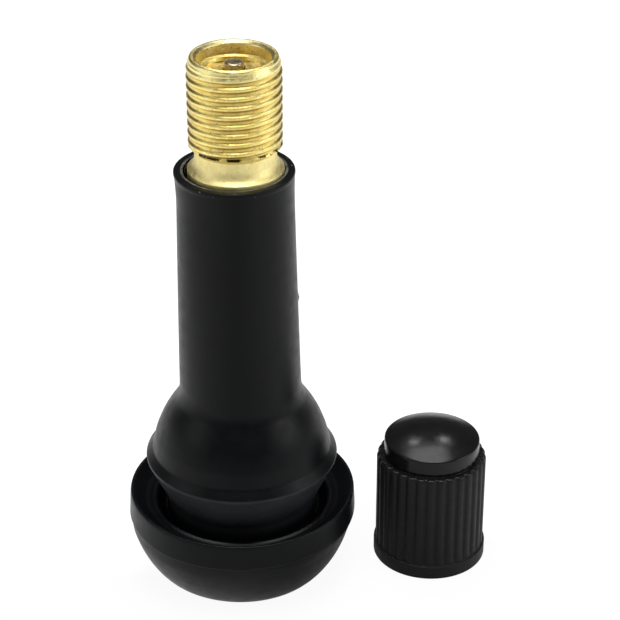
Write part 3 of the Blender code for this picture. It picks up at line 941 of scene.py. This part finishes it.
def stem(material):
    """The brass stem in one piece: mouth, outer thread, neck, flare, hidden shank and bore."""
    angles = even_angles(stem_columns)
    mouth = rounded([
        (lead_radius, thread_top, 0),
        (lead_radius - lead_taper, stem_top - lead_drop, 0.1),
        (lip_radius, stem_top, 0.08),
        (mouth_radius + mouth_bevel, stem_top, 0.06),
        (mouth_radius, stem_top - mouth_bevel, 0.08),
        (mouth_radius, mouth_floor + mouth_floor_slope, 0.08),
        (bore_radius + bore_lead, mouth_floor - mouth_floor_slope, 0.05),
        (bore_radius, bore_thread_top + bore_land, 0.05),
        (bore_radius, bore_thread_top, 0),
    ])
    bore_and_shank = rounded([
        (bore_radius, bore_thread_bottom, 0),
        (bore_radius, seat_cone_top, 0.1),
        (seat_cone_end, seat_cone_bottom, 0.05),
        (chamber_radius, chamber_bottom, 0.1),
        (passage_radius, passage_top, 0.1),
        (passage_radius, spigot_bottom + passage_bevel, 0.05),
        (passage_radius + passage_bevel, spigot_bottom, 0.05),
        *reversed(stem_in_rubber()),
        (flare_radius, flare_bottom, 0.06),
        *flare_curve,
        (stem_neck_radius, stem_neck_bottom, 0.25),
        (stem_neck_radius, thread_bottom, 0),
    ])
    ends = (thread_bottom, thread_top)
    thread = helix(angles, thread_pitch, *ends, outer_thread_profile, outer_thread, thread_crest_front)
    ends = (bore_thread_bottom, bore_thread_top)
    inner = helix(angles, core_pitch, *ends, core_thread_profile, bore_thread, bore_thread_top)
    sections = [rings(mouth, angles), inner, rings(bore_and_shank, angles), thread]
    obj = skin("stem_shell", sections, angles, valve_axis, material)
    dress(obj, "valve", "brass_stem")


def rubber(material):
    """The rubber body, with its rounded rims and the slightly uneven parting line of its mould."""
    angles = even_angles(rubber_columns)
    bulb = []
    for drop, spread in bulb_curve:
        radius = neck_base[0] + (bulb_base[0] - neck_base[0]) * spread
        height = neck_base[1] + (bulb_base[1] - neck_base[1]) * drop
        bulb.append((radius, height, bulb_rounding))
    under = []
    for share in np.linspace(*underside_shares):
        swell = (math.sqrt(share) + 1 - (1 - share) ** 2) / 2
        radius = underside_radius + (foot_under_radius - underside_radius) * swell
        under.append((radius, parting_height * share, underside_rounding))
    last = (underside_radius, 0.0, 0)
    outside = rounded([*rim_and_neck, *bulb, (*bulb_base, 0.25), *ridge_and_dish, *under, last])
    inside = [(radius + bond_gap, height, 0) for radius, height, size in stem_in_rubber()]
    inside[0] = (flare_radius + bond_gap, bond_top, 0)
    inside[-1] = (spigot_radius + bond_gap, 0.0, 0.1)
    inside = rounded([rim_and_neck[0], *inside, last])
    radius, height, shade, shift = rings(divided(outside, rubber_rows), angles)
    radius += np.interp(height, sway_heights, sway_right) * np.cos(angles)
    nib = np.exp(-(((height - nib_height) / nib_spread) ** 2))
    nib *= np.exp(-((np.sin(angles / 2) / nib_width) ** 2))
    radius += nib_rise * nib * (radius > nib_inside)
    wander = sum(size * np.sin(count * angles + turn) for count, size, turn in parting_waves)
    past = angles - math.radians(parting_step_angle)
    step = parting_step / (1 + np.exp(-past / parting_step_width)) - parting_step / 2
    near = np.exp(-(((height - parting_height) / parting_spread) ** 2)) * (radius > parting_inside)
    height += near * (wander + step * np.exp(-(past**2)))
    sections = [(radius, height, shade, shift), rings(inside, angles)]
    obj = skin("rubber_shell", sections, angles, valve_axis, material)
    dress(obj, "valve", "rubber_body")


def plug_thread(height, depth):
    """Radius of the plug's thread, cut inwards from the plug."""
    shown = fade(height, plug_thread_bottom, plug_thread_top, plug_thread_fade)
    return plug_radius - (plug_radius - plug_root) * depth * shown


def plug(material):
    """The core's threaded plug, with a bridge across its top and a slot on either side."""
    angles = even_angles(plug_columns)
    low = plug_thread_bottom
    high = plug_thread_top
    outline = rounded([
        (plug_radius, high, 0),
        (plug_radius - plug_top_bevel, plug_top, 0.06),
        (pin_hole, plug_top, 0.06),
        (pin_hole, bridge_under, 0),
        (plug_room, bridge_under, 0.05),
        (plug_room, swivel_bottom, 0.05),
        (swivel_collar_radius, swivel_bottom, 0.05),
        (swivel_collar_radius, swivel_collar_top, 0.05),
        (swivel_radius, swivel_collar_top, 0),
        (swivel_radius, plug_bottom, 0),
        (plug_radius - plug_end_bevel, plug_bottom, 0.05),
        (plug_radius, low, 0),
    ])
    thread = helix(angles, core_pitch, low, high, core_thread_profile, plug_thread, high)
    obj = skin("plug_shell", [rings(outline, angles), thread], angles, valve_axis, material)
    bm = bmesh.new()
    width, depth, height = slot_cutter
    for side in (-1, 1):
        middle = side * (bridge_half_width + depth / 2)
        centre = Vector((valve_axis[0], middle, slot_bottom + height / 2)) * MM
        size = Matrix.Diagonal((width * MM, depth * MM, height * MM, 1.0))
        bmesh.ops.create_cube(bm, size=1.0, matrix=Matrix.Translation(centre) @ size)
    slots = bpy.data.meshes.new("plug_slots")
    bm.to_mesh(slots)
    bm.free()
    tool = bpy.data.objects.new("plug_slots", slots)
    bpy.context.scene.collection.objects.link(tool)
    cut = obj.modifiers.new("Slots", "BOOLEAN")
    cut.solver = "EXACT"
    cut.object = tool
    bpy.context.view_layer.update()
    graph = bpy.context.evaluated_depsgraph_get()
    shape = bpy.data.meshes.new_from_object(obj.evaluated_get(graph))
    obj.modifiers.clear()
    obj.data = shape
    shape.set_sharp_from_angle(angle=math.radians(crisp_angle))
    bpy.data.objects.remove(tool)
    dress(obj, "core_plug", "core_plug")


def core_pieces(brass, steel, wire, seal):
    """The turned pieces of the core inside the stem, and its spring."""
    for name, outline, columns, material, body, node, slot in (
        ("pin_shell", pin_outline, 64, steel, "core_pin", "core_pin", "pin_steel"),
        ("barrel_shell", barrel_outline, 72, brass, "core_cartridge", "core_barrel", "core_brass"),
        ("packing_shell", packing_outline, 72, seal, "core_cartridge", "core_packing", "core_seal"),
        ("cup_shell", cup_outline, 64, brass, "core_pin", "pin_cup", "core_brass"),
        ("gasket_shell", gasket_outline, 64, seal, "core_pin", "seat_gasket", "core_seal"),
    ):
        obj = turned(name, rounded(outline), columns, valve_axis, material)
        dress(obj, body, node)
    spring(wire)


def spring(material):
    """The core's spring, as a round wire swept along its coil."""
    bottom = spring_bottom + spring_wire
    top = spring_top - spring_wire
    pitch = (top - bottom - 2 * spring_end_rise) / (spring_turns - 2)
    turn = np.linspace(0, spring_turns, round(spring_turns * spring_steps) + 1)
    rise = np.minimum(turn, 1) * spring_end_rise + np.clip(turn - 1, 0, spring_turns - 2) * pitch
    rise += np.maximum(turn - spring_turns + 1, 0) * spring_end_rise
    angle = 2 * math.pi * turn
    out = np.stack([np.cos(angle), np.sin(angle), 0 * angle], -1)
    up = np.array((0.0, 0.0, 1.0))
    line = np.array((*valve_axis, bottom)) + spring_radius * out + rise[:, None] * up
    around = even_angles(wire_columns)
    rounds = line[:, None] + spring_wire * (
        out[:, None] * np.cos(around)[None, :, None] + up * np.sin(around)[None, :, None]
    )
    rows, columns = rounds.shape[:2]
    faces = grid_faces(rows, columns, 0, 0).tolist()
    faces.append(list(range(columns)))
    faces.append(list(range((rows - 1) * columns, rows * columns)))
    mesh = bpy.data.meshes.new("spring_shell")
    mesh.from_pydata((rounds.reshape(-1, 3) * MM).tolist(), [], faces)
    obj = finished("spring_shell", mesh, material)
    dress(obj, "core_cartridge", "core_spring")
    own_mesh(obj)


def cap_thread(height, depth):
    """Radius of the cap's inner thread, whose ridges stand in from the bore."""
    shown = fade(height, cap_thread_bottom, cap_thread_top, cap_thread_fade)
    return cap_bore - (cap_bore - cap_minor) * (1 - depth) * shown


def cap(material):
    """The dust cap: domed crown, ribbed body, flange and threaded bore."""
    pitch = 2 * math.pi / cap_ribs
    angles = np.array([pitch * (k + phase) for k in range(cap_ribs) for phase, depth in flute_profile])
    flute = np.array([depth for k in range(cap_ribs) for phase, depth in flute_profile])
    dome = []
    for share in np.linspace(*dome_shares):
        dome.append((crown_radius * share, crown_edge + (cap_top - crown_edge) * (1 - share**2), 0))
    outside = rounded([*dome, *cap_outline])
    radius, height, shade, shift = rings(divided(outside, cap_rows), angles)
    body = (height > cap_flange_top + row_margin) & (height < cap_body_top + row_margin)
    body &= radius > crown_radius
    radius -= body * rib_depth * flute * np.sqrt(np.clip((height - cap_flange_top) / flute_fade, 0, 1))
    ends = (cap_thread_bottom, cap_thread_top)
    thread = helix(angles, thread_pitch, *ends, core_thread_profile, cap_thread, cap_thread_top)
    sections = [(radius, height, shade, shift), thread, rings(rounded(cap_inside_outline), angles)]
    obj = skin("cap_shell", sections, angles, cap_axis, material)
    dress(obj, "cap", "cap")


def floor_finish():
    """White paper, whose glow in what mirrors it weakens in front of the valve and in the gap."""
    f = Finish("floor_paper")
    colour = f.mixed(f.noise(*paper_cloud), *paper_colours)
    f.shade(Base_Color=colour, Roughness=paper_rough, Specular_IOR_Level=paper_shine)
    rays = f.add("ShaderNodeLightPath").outputs
    seen = rays["Is Camera Ray"]
    mirrored = f.maths("MAXIMUM", rays["Is Glossy Ray"], rays["Is Transmission Ray"])
    share = f.maths("MAXIMUM", f.times(seen, floor_glow), f.times(mirrored, floor_mirror_glow))
    side = f.between(f.aside(valve_axis), *front_aside)
    side = f.maths("MAXIMUM", side, f.between(f.part(1), *front_depth))
    mirror = f.between(side, 0.0, 1.0, front_mirror, side_mirror)
    mirror = f.times(mirror, f.between(f.reach(gap_place), *gap_reach, gap_mirror))
    glow = f.add("ShaderNodeEmission", {"Color": white, "Strength": f.maths("MAXIMUM", seen, mirror)})
    mix = f.add("ShaderNodeMixShader", {0: share, 1: f.shader.outputs[0], 2: glow.outputs[0]})
    f.put(f.tree.nodes["Material Output"].inputs["Surface"], mix.outputs[0])
    return f.material


def surroundings():
    """Light from all around, which the metal and the plastic mirror."""
    world = bpy.data.worlds.new("studio")
    world.use_nodes = True
    tree = world.node_tree
    place = tree.nodes.new("ShaderNodeTexCoord")
    split = tree.nodes.new("ShaderNodeSeparateXYZ")
    sky = tree.nodes.new("ShaderNodeMapRange")
    sky.interpolation_type = "SMOOTHSTEP"
    for key, value in ((1, 0.0), (2, sky_start), (4, sky_glow)):
        sky.inputs[key].default_value = value
    turn = tree.nodes.new("ShaderNodeMapRange")
    for key, value in enumerate((*horizon_turn, front_horizon, back_horizon), 1):
        turn.inputs[key].default_value = value
    tree.links.new(place.outputs["Generated"], split.inputs[0])
    tree.links.new(split.outputs["Y"], turn.inputs["Value"])
    tree.links.new(turn.outputs[0], sky.inputs[3])
    tree.links.new(split.outputs["Z"], sky.inputs["Value"])
    tree.links.new(sky.outputs[0], tree.nodes["Background"].inputs["Strength"])
    tree.nodes["Background"].inputs["Color"].default_value = white
    bpy.context.scene.world = world


def studio():
    """The pale floor, the soft lamps and the surroundings."""
    bm = bmesh.new()
    bmesh.ops.create_circle(bm, cap_ends=True, segments=floor_columns, radius=floor_radius * MM)
    mesh = bpy.data.meshes.new("floor")
    bm.to_mesh(mesh)
    bm.free()
    mesh.materials.append(floor_finish())
    floor = bpy.data.objects.new("floor", mesh)
    floor.location.z = -floor_drop * MM
    bpy.context.scene.collection.objects.link(floor)
    for values in lamps:
        lamp(*values)
    surroundings()


def lamp(name, azimuth, elevation, distance, width, height, power):
    """A soft rectangular lamp that faces the object."""
    light = bpy.data.lights.new(name, "AREA")
    light.shape = "RECTANGLE"
    light.size = width
    light.size_y = height
    light.energy = power
    obj = bpy.data.objects.new(name, light)
    bpy.context.scene.collection.objects.link(obj)
    a = math.radians(azimuth)
    e = math.radians(elevation)
    way = Vector((math.sin(a) * math.cos(e), math.cos(a) * math.cos(e), math.sin(e)))
    obj.location = way * distance + Vector(lamp_aim)
    obj.rotation_euler = way.to_track_quat("Z", "Y").to_euler()


def camera():
    """The camera at the photograph's place, angle and framing."""
    data = bpy.data.cameras.new("camera")
    data.sensor_width = camera_sensor
    data.lens = camera_lens
    data.clip_start = camera_clip * MM
    obj = bpy.data.objects.new("camera", data)
    bpy.context.scene.collection.objects.link(obj)
    pitch = math.radians(camera_pitch)
    yaw = math.radians(camera_yaw)
    ahead = Vector((math.sin(yaw) * math.cos(pitch), math.cos(yaw) * math.cos(pitch), -math.sin(pitch)))
    right = Vector((math.cos(yaw), -math.sin(yaw), 0))
    up = right.cross(ahead)
    turn = Matrix.Rotation(math.radians(camera_roll), 3, -ahead)
    axes = Matrix((turn @ right, turn @ up, -ahead)).transposed()
    obj.matrix_world = Matrix.Translation(Vector(camera_place) * MM) @ axes.to_4x4()
    bpy.context.scene.camera = obj


def main():
    """Builds every piece, its finish, the studio and the camera."""
    camera()
    studio()
    stem_brass = brass_finish("turned_brass", stem_brass_colours, stem_brass_rough)
    core_brass = brass_finish("core_brass", core_brass_colours, core_brass_rough)
    stem(stem_brass)
    rubber(rubber_finish())
    plug(core_brass)
    # The pin's brownish colour is a painted reflection of the brass around it
    pin_steel = steel_finish("pin_steel", pin_steel_and_reflection_colours)
    wire = steel_finish("spring_wire", wire_colours)
    core_pieces(core_brass, pin_steel, wire, seal_finish())
    cap(plastic_finish())
    bpy.context.scene.view_settings.view_transform = "Standard"


main()
